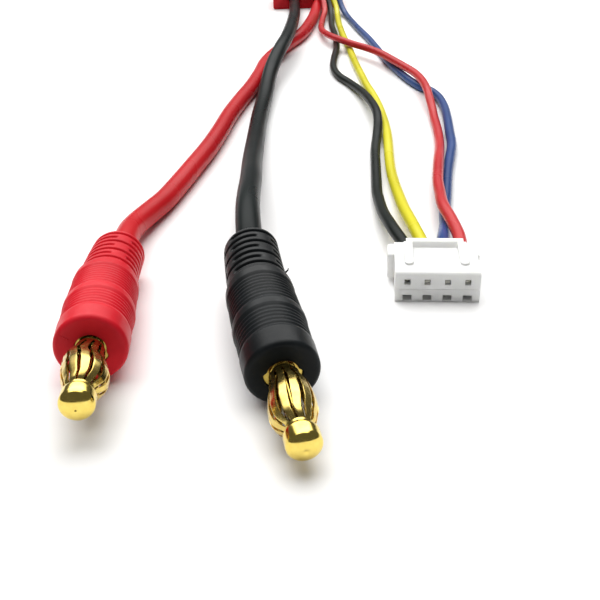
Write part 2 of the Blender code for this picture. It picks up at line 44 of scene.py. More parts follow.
# ------------------------------------------------------------- layout (mm)
BLACK_PLUG = ((-0.35, -121.88, 4.05), 10.4, -4.6, 0.6)
RED_PLUG = ((-20.97, -116.65, 4.6), 4.86, 2.2, 0.65)
BOOT_LEN = 25.8
BEND_START = 12.0
BAL_AT = (18.85, -100.75, 0.0)
BAL_TURN = -5.61
BAL_W, BAL_L, BAL_H = 10.6, 9.0, 4.1
BAL_PITCH = 2.5
BAL_PIN_Z = 2.8
CON_AT = (7.6, 112.7, 0.0)
CON_W, CON_H = 23.6, 8.6
CON_COVER_L, CON_SHELL_L, CON_GAP = 8.0, 12.0, 0.3
CON_POWER = ((-4.4, "black"), (4.2, "red"))
CON_POWER_Z = 2.75
CON_BALANCE = ((3.6, "red"), (5.7, "black"), (7.8, "yellow"), (9.9, "blue"))
CON_BALANCE_Z = 6.4
CON_WIRE_END = 4.5
WIRE_START, THIN_WIRE_START = 13.0, 7.1
MAIN_WIRE_D, THIN_WIRE_D = 3.5, 1.8

ROUTES = {
    "black_main": [
        (-5.3, -83.2, 6.7), (-5.4, -70.0, 5.6), (-5.7, -55.9, 3.9),
        (-5.7, -40.7, 2.5), (-5.4, -22.9, 1.85), (-4.6, -7.7, 2.1),
        (-3.8, 5.9, 3.2), (-2.8, 14.2, 4.3), (-1.3, 23.6, 5.35),
        (0.3, 34.7, 5.65), (1.7, 50.9, 5.5), (2.8, 72.7, 4.6),
        (3.1, 90.0, 3.4), (3.2, 103.0, 2.8)],
    "red_main": [
        (-22.5, -80.4, 2.75), (-21.2, -74.1, 2.2), (-19.5, -67.8, 1.85),
        (-17.9, -60.3, 1.8), (-16.2, -51.6, 1.8), (-14.5, -42.6, 1.8),
        (-13.1, -32.8, 1.8), (-11.7, -20.9, 1.8), (-9.9, -9.8, 1.8),
        (-8.0, 0.6, 1.8), (-6.4, 12.1, 1.8), (-4.9, 25.5, 1.8),
        (-0.8, 42.0, 1.8), (4.7, 59.5, 1.8), (7.9, 77.5, 1.8),
        (9.9, 94.0, 1.85), (11.2, 105.0, 2.5)],
    "black": [
        (15.3, -84.4, 2.75), (14.9, -80.3, 2.4), (14.6, -75.7, 1.9),
        (14.6, -71.2, 1.5), (14.7, -66.0, 1.1), (15.2, -59.6, 0.95),
        (15.8, -52.2, 0.95), (16.5, -44.1, 0.95), (17.5, -36.8, 1.25),
        (18.2, -31.7, 2.2), (18.5, -25.6, 2.7), (18.1, -17.2, 2.55),
        (17.0, -5.2, 1.6), (15.0, 5.2, 0.98), (13.0, 11.9, 0.95),
        (12.1, 20.2, 0.95), (12.7, 30.0, 0.95), (14.1, 43.1, 0.95),
        (14.6, 57.8, 0.95), (14.4, 76.1, 0.95), (14.9, 88.0, 1.25),
        (15.0, 96.0, 2.6), (14.3, 102.6, 4.85)],
    "yellow": [
        (18.3, -84.2, 2.7), (18.2, -79.4, 2.2), (18.0, -74.6, 1.8),
        (18.0, -69.6, 1.4), (18.0, -62.9, 1.05), (18.1, -56.5, 0.95),
        (18.5, -49.9, 0.95), (19.1, -42.7, 0.95), (19.7, -34.9, 0.95),
        (20.0, -26.3, 0.95), (20.0, -16.1, 0.95), (19.6, -6.4, 0.95),
        (18.9, 2.5, 0.95), (18.5, 12.1, 0.95), (18.0, 23.6, 0.95),
        (17.6, 41.3, 0.95), (17.0, 58.9, 0.95), (16.8, 77.3, 0.95),
        (17.0, 90.0, 1.3), (17.0, 97.0, 2.7), (16.1, 103.5, 5.0)],
    "red": [
        (23.9, -87.6, 3.05), (23.8, -84.5, 3.2), (23.7, -81.5, 3.25),
        (23.45, -78.5, 3.3), (23.5, -75.5, 3.15), (23.95, -71.4, 2.8),
        (24.6, -65.2, 2.6), (25.6, -59.4, 2.4), (26.7, -53.3, 2.15),
        (27.9, -47.0, 1.5), (29.0, -40.2, 0.98), (29.7, -34.1, 0.95),
        (30.3, -26.1, 0.98), (30.8, -19.4, 1.55), (30.9, -14.9, 2.4),
        (31.1, -10.1, 2.85), (31.1, -2.8, 2.95), (30.4, 4.2, 2.95),
        (28.9, 10.4, 2.95), (26.8, 18.1, 2.95), (24.6, 25.7, 2.95),
        (21.8, 32.0, 2.95), (18.3, 38.1, 2.95), (14.7, 45.3, 2.95),
        (12.2, 53.9, 2.5), (10.9, 67.3, 1.6), (12.0, 84.0, 1.6),
        (13.0, 92.0, 2.6), (12.7, 100.0, 4.9), (11.7, 106.0, 6.0)],
    "blue": [
        (21.9, -86.5, 2.25), (22.7, -83.0, 1.6), (23.5, -79.3, 1.2),
        (24.1, -75.4, 1.0), (24.75, -71.9, 0.95), (25.6, -67.8, 0.95),
        (26.5, -63.1, 0.95), (27.7, -57.0, 0.95), (29.3, -49.9, 0.95),
        (30.9, -42.8, 0.95), (31.8, -35.6, 0.95), (33.0, -25.7, 0.95),
        (33.8, -17.0, 0.95), (33.8, -9.8, 0.95), (32.9, -4.7, 0.95),
        (31.2, -0.9, 0.95), (29.5, 5.3, 0.95), (27.8, 14.8, 0.95),
        (26.3, 26.3, 0.95), (25.1, 40.8, 0.95), (23.9, 54.9, 0.95),
        (22.1, 69.9, 0.95), (20.3, 88.4, 0.98), (19.7, 94.0, 1.35),
        (18.9, 99.0, 2.6), (18.1, 104.3, 5.0)],
}

# ------------------------------------------------------------- camera
PITCH, ROLL, LENS = math.radians(28.88), math.radians(1.96), 49.91
cam_data = bpy.data.cameras.new("camera")
cam_data.lens = LENS
cam_data.sensor_width = 36.0
cam_data.clip_start, cam_data.clip_end = 0.005, 20.0
camera = bpy.data.objects.new("camera", cam_data)
SCENE.collection.objects.link(camera)
right0 = Vector((1, 0, 0))
down0 = Vector((0, -math.sin(PITCH), -math.cos(PITCH)))
ahead = Vector((0, math.cos(PITCH), -math.sin(PITCH)))
right = math.cos(ROLL) * right0 + math.sin(ROLL) * down0
down = -math.sin(ROLL) * right0 + math.cos(ROLL) * down0
turn = Matrix((right, -down, -ahead)).transposed().to_4x4()
camera.matrix_world = Matrix.Translation(Vector((1.6, -192.3, 51.48)) * MM) @ turn
SCENE.camera = camera


# ------------------------------------------------------------- placing
def boot_lean(s, lean):
    t = max(s - BEND_START, 0.0) / (BOOT_LEN - BEND_START)
    return lean * (t * t if t < 1 else 2 * t - 1)


def plug_matrix(plug):
    at, turn_deg, nose, _ = plug
    rot = Euler((math.radians(-nose), 0, math.radians(turn_deg)), "XYZ")
    return Matrix.Translation(Vector(at) * MM) @ rot.to_matrix().to_4x4()


def on_plug(plug, distances):
    at, turn_deg, nose, lean = plug
    rot = Euler((math.radians(-nose), 0, math.radians(turn_deg)), "XYZ").to_matrix()
    return [Vector(at) + rot @ Vector((boot_lean(s, lean), s, 0)) for s in distances]


BAL_MATRIX = (Matrix.Translation(Vector(BAL_AT) * MM)
              @ Matrix.Rotation(math.radians(BAL_TURN), 4, "Z"))
CON_MATRIX = Matrix.Translation(Vector(CON_AT) * MM)


def on_balance(x, distances):
    rot = Euler((0, 0, math.radians(BAL_TURN))).to_matrix()
    return [Vector(BAL_AT) + rot @ Vector((x, y, BAL_PIN_Z)) for y in distances]


def on_connector(x, z, distances):
    return [Vector(CON_AT) + Vector((x, y, z)) for y in distances]


def way_x(i):
    return (i - 1.5) * BAL_PITCH


# ------------------------------------------------------------- materials
class Nodes:
    """Small helper that builds one procedural material."""

    def __init__(self, name):
        self.mat = bpy.data.materials.new(name)
        self.mat.use_nodes = True
        self.tree = self.mat.node_tree
        self.bsdf = self.tree.nodes["Principled BSDF"]
        self.coord = self.tree.nodes.new("ShaderNodeTexCoord").outputs["Object"]

    def put(self, socket, value):
        self.bsdf.inputs[socket].default_value = value

    def noise(self, scale, detail=3.0, rough=0.55, distortion=0.0, vector=None):
        node = self.tree.nodes.new("ShaderNodeTexNoise")
        node.inputs["Scale"].default_value = scale
        node.inputs["Detail"].default_value = detail
        node.inputs["Roughness"].default_value = rough
        node.inputs["Distortion"].default_value = distortion
        self.tree.links.new(vector or self.coord, node.inputs["Vector"])
        return node.outputs["Fac"]

    def voronoi(self, scale, feature="F1", vector=None):
        node = self.tree.nodes.new("ShaderNodeTexVoronoi")
        node.feature = feature
        node.inputs["Scale"].default_value = scale
        self.tree.links.new(vector or self.coord, node.inputs["Vector"])
        return node.outputs["Distance"]

    def mapping(self, scale=(1, 1, 1), rotation=(0, 0, 0)):
        node = self.tree.nodes.new("ShaderNodeMapping")
        node.inputs["Scale"].default_value = scale
        node.inputs["Rotation"].default_value = rotation
        self.tree.links.new(self.coord, node.inputs["Vector"])
        return node.outputs["Vector"]

    def ramp(self, fac, stops, colour=True):
        node = self.tree.nodes.new("ShaderNodeValToRGB")
        ramp = node.color_ramp
        while len(ramp.elements) < len(stops):
            ramp.elements.new(0.5)
        for element, (pos, value) in zip(ramp.elements, stops):
            element.position = pos
            element.color = ((*value, 1.0) if colour
                             else (value, value, value, 1.0))
        self.tree.links.new(fac, node.inputs["Fac"])
        return node.outputs["Color"]

    def mix(self, fac, a, b, blend="MIX"):
        node = self.tree.nodes.new("ShaderNodeMix")
        node.data_type = "RGBA"
        node.blend_type = blend
        for socket, value in (("Factor", fac), ("A", a), ("B", b)):
            target = next(i for i in node.inputs
                          if i.name == socket and i.enabled
                          and (socket == "Factor" or i.type == "RGBA"))
            if hasattr(value, "links"):
                self.tree.links.new(value, target)
            else:
                target.default_value = value if socket == "Factor" else (*value, 1.0)
        return next(o for o in node.outputs if o.type == "RGBA" and o.enabled)

    def pointiness(self):
        return self.tree.nodes.new("ShaderNodeNewGeometry").outputs["Pointiness"]

    def attribute(self, name):
        node = self.tree.nodes.new("ShaderNodeAttribute")
        node.attribute_name = name
        return node.outputs["Fac"]

    def math(self, op, a, b=0.0):
        node = self.tree.nodes.new("ShaderNodeMath")
        node.operation = op
        for i, value in enumerate((a, b)):
            if hasattr(value, "links"):
                self.tree.links.new(value, node.inputs[i])
            else:
                node.inputs[i].default_value = value
        return node.outputs[0]

    def colour(self, out):
        self.tree.links.new(out, self.bsdf.inputs["Base Color"])

    def roughness(self, out):
        self.tree.links.new(out, self.bsdf.inputs["Roughness"])

    def bump(self, heights, distance=0.00005):
        """heights: [(output, strength)], chained."""
        normal = None
        for out, strength in heights:
            node = self.tree.nodes.new("ShaderNodeBump")
            node.inputs["Strength"].default_value = strength
            node.inputs["Distance"].default_value = distance
            self.tree.links.new(out, node.inputs["Height"])
            if normal:
                self.tree.links.new(normal, node.inputs["Normal"])
            normal = node.outputs["Normal"]
        self.tree.links.new(normal, self.bsdf.inputs["Normal"])


def moulded(name, dark, base, light, rough, grain=0.35, specular=0.1, glow=0.0):
    """Soft moulded plastic: slight mottling, fine grain, uneven gloss."""
    n = Nodes(name)
    big = n.noise(180.0, 3.0)
    fine = n.noise(2600.0, 4.0, 0.6)
    tone = n.ramp(big, [(0.3, dark), (0.5, base), (0.72, light)])
    scuff = n.ramp(n.noise(900.0, 5.0, 0.7, 0.6), [(0.62, 0.0), (0.75, 0.35)], colour=False)
    n.colour(n.mix(scuff, tone, tuple(min(1.0, c * 1.15 + 0.012) for c in light)))
    n.roughness(n.ramp(n.noise(420.0, 4.0, 0.6),
                       [(0.3, rough - 0.07), (0.7, rough + 0.09)], colour=False))
    n.bump([(fine, grain), (n.noise(500.0, 2.0), grain * 0.8)], 0.00003)
    n.put("Specular IOR Level", specular)
    if glow:                                   # light passes a little way in
        n.put("Subsurface Weight", glow)
        n.put("Subsurface Radius", (1.0, 1.0, 0.9))
        n.put("Subsurface Scale", 0.0009)
    return n.mat


def silicone(name, dark, base, light, rough, specular=0.08):
    """Extruded silicone jacket: soft gloss, cloudy tone."""
    n = Nodes(name)
    patches = n.noise(60.0, 2.0, 0.5)
    n.colour(n.ramp(patches, [(0.3, dark), (0.52, base), (0.75, light)]))
    n.roughness(n.ramp(n.noise(70.0, 1.0, 0.4),
                       [(0.3, rough - 0.04), (0.7, rough + 0.06)], colour=False))
    n.put("Specular IOR Level", specular)
    return n.mat


def plated(name, dark, base, light, rough, recess_shade=None):
    """Gold or tin plating: slight tarnish, fine polishing marks."""
    n = Nodes(name)
    n.put("Metallic", 1.0)
    stain = n.noise(900.0, 4.0, 0.6)
    tone = n.ramp(stain, [(0.25, dark), (0.5, base), (0.8, light)])
    if recess_shade:                                 # painted shade: the plating is darkened to brown where the AO node finds hollows between the leaves
        shade = n.tree.nodes.new("ShaderNodeAmbientOcclusion")
        shade.samples = 8
        shade.inputs["Distance"].default_value = 0.0016
        shade_mask = n.ramp(shade.outputs["AO"], [(0.15, 1.0), (0.72, 0.0)], colour=False)
        tone = n.mix(shade_mask, tone, recess_shade)
    n.colour(tone)
    n.roughness(n.ramp(n.noise(2200.0, 3.0, 0.5),
                       [(0.3, rough - 0.03), (0.7, rough + 0.06)], colour=False))
    n.bump([(n.noise(3500.0, 2.0), 0.10), (n.noise(700.0, 2.0), 0.12)], 0.00002)
    return n.mat


RED_PVC = moulded("red_boot_pvc", (0.61, 0.012, 0.023), (0.67, 0.016, 0.028),
                  (0.72, 0.022, 0.035), 0.36, 0.3)
BLACK_PVC = moulded("black_boot_pvc", (0.0065, 0.0078, 0.0085), (0.0090, 0.0108, 0.0118),
                    (0.014, 0.0165, 0.018), 0.36, 0.35)
RED_PLASTIC = moulded("red_connector_plastic", (0.55, 0.012, 0.02),
                      (0.64, 0.017, 0.027), (0.70, 0.022, 0.035), 0.32, 0.25)
NYLON = moulded("white_nylon", (0.83, 0.84, 0.82), (0.87, 0.875, 0.86),
                (0.90, 0.905, 0.89), 0.38, 0.2, glow=0.5)
# the dark brown recess colours given to the gold finishes are painted shade laid into the hollows
# of pin and cage
GOLD = plated("gold_plating", (0.70, 0.50, 0.10), (0.80, 0.61, 0.14),
              (0.86, 0.68, 0.18), 0.12, recess_shade=(0.16, 0.085, 0.02))
GOLD_LEAF = plated("gold_spring_plating", (0.55, 0.39, 0.11), (0.67, 0.50, 0.14),
                   (0.76, 0.60, 0.19), 0.22, recess_shade=(0.18, 0.09, 0.02))
TIN = plated("tin_plating", (0.62, 0.61, 0.56), (0.76, 0.75, 0.70),
             (0.84, 0.83, 0.79), 0.22)
COPPER = plated("tinned_copper", (0.6, 0.28, 0.16), (0.8, 0.42, 0.27),
                (0.9, 0.55, 0.38), 0.28)
SILICONE = {
    "red_main": silicone("red_silicone_thick", (0.48, 0.010, 0.015),
                         (0.54, 0.014, 0.019), (0.60, 0.020, 0.026), 0.28, 0.06),
    "black_main": silicone("black_silicone_thick", (0.007, 0.010, 0.010),
                           (0.010, 0.014, 0.014), (0.015, 0.020, 0.020), 0.3, 0.035),
    "black": silicone("black_silicone", (0.010, 0.013, 0.012),
                      (0.015, 0.019, 0.017), (0.022, 0.027, 0.024), 0.3, 0.035),
    "yellow": silicone("yellow_silicone", (0.62, 0.56, 0.016),
                       (0.70, 0.64, 0.025), (0.76, 0.71, 0.045), 0.28),
    "red": silicone("red_silicone", (0.49, 0.022, 0.028),
                    (0.55, 0.032, 0.036), (0.60, 0.045, 0.048), 0.28),
    "blue": silicone("blue_silicone", (0.018, 0.05, 0.17),
                     (0.026, 0.066, 0.22), (0.042, 0.09, 0.28), 0.28),
}


# ------------------------------------------------------------- wires
def smooth_route(points, step=0.4):
    """Centripetal Catmull-Rom curve through the route's points."""
    pts = [Vector(p) for p in points]
    pts = [2 * pts[0] - pts[1]] + pts + [2 * pts[-1] - pts[-2]]
    out = []
    for p0, p1, p2, p3 in zip(pts, pts[1:], pts[2:], pts[3:]):
        t0 = 0.0
        t1 = t0 + math.sqrt((p1 - p0).length)
        t2 = t1 + math.sqrt((p2 - p1).length)
        t3 = t2 + math.sqrt((p3 - p2).length)
        count = max(2, int((p2 - p1).length / step))
        for k in range(count):
            t = t1 + (t2 - t1) * k / count
            a1 = p0.lerp(p1, (t - t0) / (t1 - t0))
            a2 = p1.lerp(p2, (t - t1) / (t2 - t1))
            a3 = p2.lerp(p3, (t - t2) / (t3 - t2))
            b1 = a1.lerp(a2, (t - t0) / (t2 - t0))
            b2 = a2.lerp(a3, (t - t1) / (t3 - t1))
            out.append(b1.lerp(b2, (t - t1) / (t2 - t1)))
    out.append(pts[-2])
    return out


def even_points(path, count):
    run = [0.0]
    for a, b in zip(path, path[1:]):
        run.append(run[-1] + (b - a).length)
    out, k = [], 0
    for i in range(count):
        want = run[-1] * i / (count - 1)
        while k < len(run) - 2 and run[k + 1] < want:
            k += 1
        out.append(path[k].lerp(path[k + 1],
                                (want - run[k]) / (run[k + 1] - run[k])))
    return out, run[-1]


def wire(name, points, diameter, mat, node):
    curve = bpy.data.curves.new(name, "CURVE")
    curve.dimensions = "3D"
    curve.bevel_depth = diameter / 2 * MM
    curve.bevel_resolution = 7
    curve.use_fill_caps = True
    spline = curve.splines.new("POLY")
    path, total = even_points(smooth_route(points), 260)
    for _ in range(2):                       # even out the curvature
        path = [path[0]] + [(a + 2 * b + c) / 4 for a, b, c in
                            zip(path, path[1:], path[2:])] + [path[-1]]
    spline.points.add(len(path) - 1)
    for point, at in zip(spline.points, path):
        point.co = (*(at * MM), 1.0)
    spline.use_smooth = True
    curve.materials.append(mat)
    obj = bpy.data.objects.new(name, curve)
    SCENE.collection.objects.link(obj)
    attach(obj, "lead")
    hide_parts(node)
    return obj


for (x, colour), plug in zip(CON_POWER, (BLACK_PLUG, RED_PLUG)):
    wire(f"{colour}_main_jacket",
         on_plug(plug, (WIRE_START, 19.0, BOOT_LEN, 30.0))
         + ROUTES[f"{colour}_main"]
         + on_connector(x, CON_POWER_Z, (-3.5, 0.0, CON_WIRE_END)),
         MAIN_WIRE_D, SILICONE[f"{colour}_main"], f"{colour}_main_wire")
WAYS = dict(zip(("black", "yellow", "blue", "red"), (way_x(i) for i in range(4))))
for x, colour in CON_BALANCE:
    wire(f"{colour}_balance_jacket",
         on_balance(WAYS[colour], (THIN_WIRE_START, BAL_L, 10.4))
         + ROUTES[colour] + on_connector(x, CON_BALANCE_Z, (-3.5, 0.0, CON_WIRE_END)),
         THIN_WIRE_D, SILICONE[colour], f"{colour}_balance_wire")


# ------------------------------------------------------------- mesh helpers
def add(name, bm, mat, matrix, body="lead", smooth=True, angle=40):
    bmesh.ops.recalc_face_normals(bm, faces=bm.faces)
    mesh = bpy.data.meshes.new(name)
    bm.to_mesh(mesh)
    bm.free()
    if smooth:
        mesh.shade_smooth()
        mesh.set_sharp_from_angle(angle=math.radians(angle))
    if mat:
        mesh.materials.append(mat)
    obj = bpy.data.objects.new(name, mesh)
    SCENE.collection.objects.link(obj)
    obj.matrix_world = matrix
    if body:
        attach(obj, body)
    return obj


def surface(name, rings, mat, matrix, body="lead", closed_ring=False, angle=40):
    """rings: lists of equal numbers of local points (mm); a skin through them.

    A ring of one point is a pole.
    """
    bm = bmesh.new()
    made = [[bm.verts.new(Vector(p) * MM) for p in ring] for ring in rings]
    pairs = list(zip(made, made[1:]))
    if closed_ring:
        pairs.append((made[-1], made[0]))
    for a, b in pairs:
        n = max(len(a), len(b))
        for j in range(n):
            k = (j + 1) % n
            if len(a) == 1:
                bm.faces.new((a[0], b[k], b[j]))
            elif len(b) == 1:
                bm.faces.new((a[j], a[k], b[0]))
            else:
                bm.faces.new((a[j], a[k], b[k], b[j]))
    return add(name, bm, mat, matrix, body, angle=angle)


def turned(name, profile, mat, matrix, body="lead", steps=96, closed=False, angle=40):
    rings = []
    for s, r in profile:
        if r == 0.0:
            rings.append([(0, s, 0)])
        else:
            rings.append([(r * math.sin(math.tau * j / steps), s,
                           r * math.cos(math.tau * j / steps))
                          for j in range(steps)])
    return surface(name, rings, mat, matrix, body, closed_ring=closed, angle=angle)


def smoothstep(a, b, x):
    t = min(max((x - a) / (b - a), 0.0), 1.0)
    return t * t * (3 - 2 * t)


# ------------------------------------------------------------- boots
FRONT_R, REAR_R, TAPER, BELLY, BELLY_S = 4.0, 3.745, 2.2, 0.2, 9.0
SHOULDER = (15.4, 16.1, 0.28)
GRIPS = ((3.3, 7.2, 6), (8.7, 13.9, 8))       # from, to, number of grooves
RIB_START, RIB_PITCH, RIB_SLOT, RIB_DEPTH, RIB_COUNT = 16.6, 1.3, 0.5, 0.35, 7


def boot_base(s):
    taper = (s / BOOT_LEN) ** TAPER
    belly = math.sin(math.pi * min(s / (2 * BELLY_S), 1.0))
    s0, s1, step = SHOULDER
    return (FRONT_R + (REAR_R - FRONT_R) * taper + BELLY * belly
            - step * smoothstep(s0, s1, s))


def slot_share(row, theta):
    """1 in a slot, 0 on the bridges between its two halves."""
    bridge = math.radians(28 if row % 2 else 118)
    gap = math.radians(13)
    off = abs((theta - bridge + math.pi / 2) % math.pi - math.pi / 2)
    return smoothstep(gap, gap + math.radians(9), off)


def boot_surface(s, theta):
    r = boot_base(s)
    for s0, s1, count in GRIPS:
        if s0 - 0.25 < s < s1 + 0.25:
            edge = smoothstep(s0 - 0.25, s0 + 0.1, s) * (
                1 - smoothstep(s1 - 0.1, s1 + 0.25, s))
            wave = 0.5 - 0.5 * math.cos(math.tau * (s - s0) / (s1 - s0) * count)
            r -= edge * (0.09 + 0.10 * wave ** 0.8)
    row = (s - RIB_START) / RIB_PITCH
    if -0.3 < row < RIB_COUNT:
        k = max(0, min(RIB_COUNT - 1, int(row + 0.3)))
        mid = RIB_START + k * RIB_PITCH + RIB_SLOT / 2
        depth = 1 - smoothstep(0.10, RIB_SLOT / 2 + 0.12, abs(s - mid))
        r -= RIB_DEPTH * depth * slot_share(k, theta)
    front = 0.55                                  # rounded front edge
    if s < front:
        r -= front - math.sqrt(max(front * front - (front - s) ** 2, 0.0))
    rear = 0.6
    if s > BOOT_LEN - rear:
        e = s - (BOOT_LEN - rear)
        r -= 0.8 * (rear - math.sqrt(max(rear * rear - e * e, 0.0)))
    return r


def add_flash(obj, path, radius, tip):
    """A thread of mould flash standing on the boot's skin."""
    bm = bmesh.new()
    bm.from_mesh(obj.data)
    last = None
    path = [Vector(at) for at in path]
    for i, at in enumerate(path):
        run = (path[min(i + 1, len(path) - 1)] - path[max(i - 1, 0)]).normalized()
        u = run.cross(Vector((0.0, 0.3, 1.0))).normalized()
        v = run.cross(u)
        r = radius * (1 - (1 - tip) * i / (len(path) - 1))
        ring = [bm.verts.new((at + u * r * math.cos(math.tau * j / 8)
                              + v * r * math.sin(math.tau * j / 8)) * MM)
                for j in range(8)]
        if last:
            for j in range(8):
                k = (j + 1) % 8
                bm.faces.new((last[j], last[k], ring[k], ring[j]))
        else:
            bm.faces.new(ring[::-1])
        last = ring
    bm.faces.new(last)
    bmesh.ops.recalc_face_normals(bm, faces=bm.faces)
    bm.to_mesh(obj.data)
    bm.free()
    obj.data.shade_smooth()


def boot(colour, plug, mat):
    lean = plug[3]
    steps = 160
    stations = [0.0, 0.02, 0.06, 0.12, 0.2, 0.3, 0.42, 0.55]
    s = 0.7
    while s < BOOT_LEN - 0.65:
        stations.append(s)
        s += 0.065 if (3.0 < s < 7.5 or 8.4 < s < 14.2) else (
            0.075 if s > 15.2 else 0.2)
    stations += [BOOT_LEN - e for e in (0.6, 0.5, 0.4, 0.3, 0.2, 0.12, 0.06, 0.02, 0.0)]
    rings = []

    def ring(s, radius):
        out = []
        for j in range(steps):
            a = math.tau * j / steps
            r = radius(a) if callable(radius) else radius
            out.append((r * math.sin(a) + boot_lean(s, lean), s, r * math.cos(a)))
        rings.append(out)

    # from the mouth out over the face, along the outside, and into the rear
    # (the soft lip sags over the top of the pin's collar)
    open_from = math.radians(72 if colour == "black" else 105)

    def lip(r):
        def radius(a):
            off = abs((a + math.pi) % math.tau - math.pi)
            return r - 0.36 * (1 - smoothstep(open_from, open_from + 0.3, off))
        return radius

    ring(1.2, 2.17)
    ring(0.22, 2.17)
    ring(0.16, lip(2.15))
    ring(0.12, lip(2.09))
    ring(0.08, lip(2.07))
    ring(0.04, lip(2.08))
    ring(0.01, lip(2.12))
    ring(0.0, lip(2.2))
    ring(0.0, 3.0)
    for s in stations:
        ring(s, lambda a, s=s: boot_surface(s, a))
    wire_r = 1.8
    ring(BOOT_LEN, 2.3)
    ring(BOOT_LEN, 2.05)
    ring(BOOT_LEN - 0.05, 1.9)
    ring(BOOT_LEN - 0.2, wire_r)
    ring(BOOT_LEN - 3.0, wire_r)
    obj = surface(f"{colour}_boot_skin", rings, mat, plug_matrix(plug), angle=60)
    if colour == "black":                         # a whisker at the shoulder
        add_flash(obj, ((3.3, 17.9, 0.9), (3.65, 17.95, 1.0),
                        (3.92, 18.05, 1.16), (4.0, 18.1, 1.42)), 0.17, 0.3)
    else:                                         # a seam across the face
        a = math.radians(-57)
        add_flash(obj, [(r * math.sin(a), 0.0, r * math.cos(a))
                        for r in (2.5, 2.8, 3.2, 3.55)], 0.07, 0.6)
    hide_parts(f"{colour}_boot")
    return obj


boot("black", BLACK_PLUG, BLACK_PVC)
boot("red", RED_PLUG, RED_PVC)


# ------------------------------------------------------------- gold pins
def arc(cs, cr, radius, a0, a1, count):
    """Points of an arc in (s, r), angles in degrees from the +s direction."""
    return [(cs + radius * math.cos(math.radians(a0 + (a1 - a0) * i / count)),
             cr + radius * math.sin(math.radians(a0 + (a1 - a0) * i / count)))
            for i in range(count + 1)]


def pin_profile():
    end, back, r_tip = -11.5, -10.45, 1.8         # end of the tip, start of its dome
    out = [(end + 0.12, 0.0), (end + 0.11, 0.10), (end + 0.06, 0.20),
           (end + 0.03, 0.30), (end + 0.03, 0.40)]
    for i in range(1, 19):
        a = math.radians(14 + 76 * i / 18)
        out.append((back - (back - end) * math.cos(a), r_tip * math.sin(a)))
    out += [(-9.6, 1.80), (-9.4, 1.80), (-9.24, 1.79), (-9.12, 1.765),
            (-9.03, 1.72), (-8.97, 1.65), (-8.95, 1.55), (-8.95, 1.2),
            (-8.93, 1.05), (-8.88, 1.0)]
    out += [(-4.0, 1.0), (-1.0, 1.0), (-0.9, 1.03), (-0.82, 1.12),
            (-0.76, 1.24), (-0.68, 1.29), (-0.6, 1.3), (0.06, 1.3),
            (0.15, 1.33), (0.18, 1.4), (0.18, 2.05), (0.19, 2.08),
            (0.22, 2.11), (0.3, 2.12), (11.9, 2.12),
            (12.0, 2.0), (12.0, 1.45), (11.95, 1.4), (6.55, 1.4),
            (6.5, 1.3), (6.5, 0.0)]
    return out


CAGE_WALL = 0.25
CAGE_OUTLINE = ((-8.65, 1.35), (-8.3, 1.42), (-8.0, 1.72), (-7.5, 2.06),
                (-6.8, 2.35), (-6.0, 2.5), (-5.0, 2.5), (-3.8, 2.36),
                (-2.8, 2.16), (-1.8, 1.92), (-1.1, 1.73), (-0.8, 1.66),
                (-0.6, 1.65), (-0.35, 1.65))
LEAVES, LEAF_DEG = 12, 20.0
# where a slit sits (degrees from the top), and how far the worn leaves lean
# sideways at a few stations along the pin (s, mm)
CAGE_REST = {"black": -8.0, "red": -5.0}
CAGE_LEAN = {"black": ((-8.3, 0.0), (-7.2, -0.2), (-5.6, -0.1), (-4.4, 0.0),
                       (-2.6, 0.12), (-1.0, 0.0), (-0.35, 0.0)),
             "red": ((-8.3, 0.0), (-7.2, 0.26), (-6.0, 0.2), (-4.6, 0.0),
                     (-2.8, -0.34), (-1.6, -0.15), (-0.9, 0.0), (-0.35, 0.0))}


def outline_radius(s):
    """Smooth curve through the cage's outline."""
    pts = CAGE_OUTLINE
    if s <= pts[0][0]:
        return pts[0][1]
    for i in range(len(pts) - 1):
        if s <= pts[i + 1][0]:
            x0, x1 = pts[i][0], pts[i + 1][0]
            p = [pts[max(i - 1, 0)], pts[i], pts[i + 1],
                 pts[min(i + 2, len(pts) - 1)]]
            m0 = (p[2][1] - p[0][1]) / max(p[2][0] - p[0][0], 1e-6)
            m1 = (p[3][1] - p[1][1]) / max(p[3][0] - p[1][0], 1e-6)
            if i == 0 or i == len(pts) - 2:
                m0 = m1 = 0.0
            t = (s - x0) / (x1 - x0)
            h = x1 - x0
            return ((2 * t ** 3 - 3 * t ** 2 + 1) * p[1][1]
                    + (t ** 3 - 2 * t ** 2 + t) * h * m0
                    + (-2 * t ** 3 + 3 * t ** 2) * p[2][1]
                    + (t ** 3 - t ** 2) * h * m1)
    return pts[-1][1]


def along(table, s):
    """Smooth value from a short table of (s, value)."""
    if s <= table[0][0]:
        return table[0][1]
    for (s0, v0), (s1, v1) in zip(table, table[1:]):
        if s <= s1:
            return v0 + (v1 - v0) * smoothstep(s0, s1, s)
    return table[-1][1]


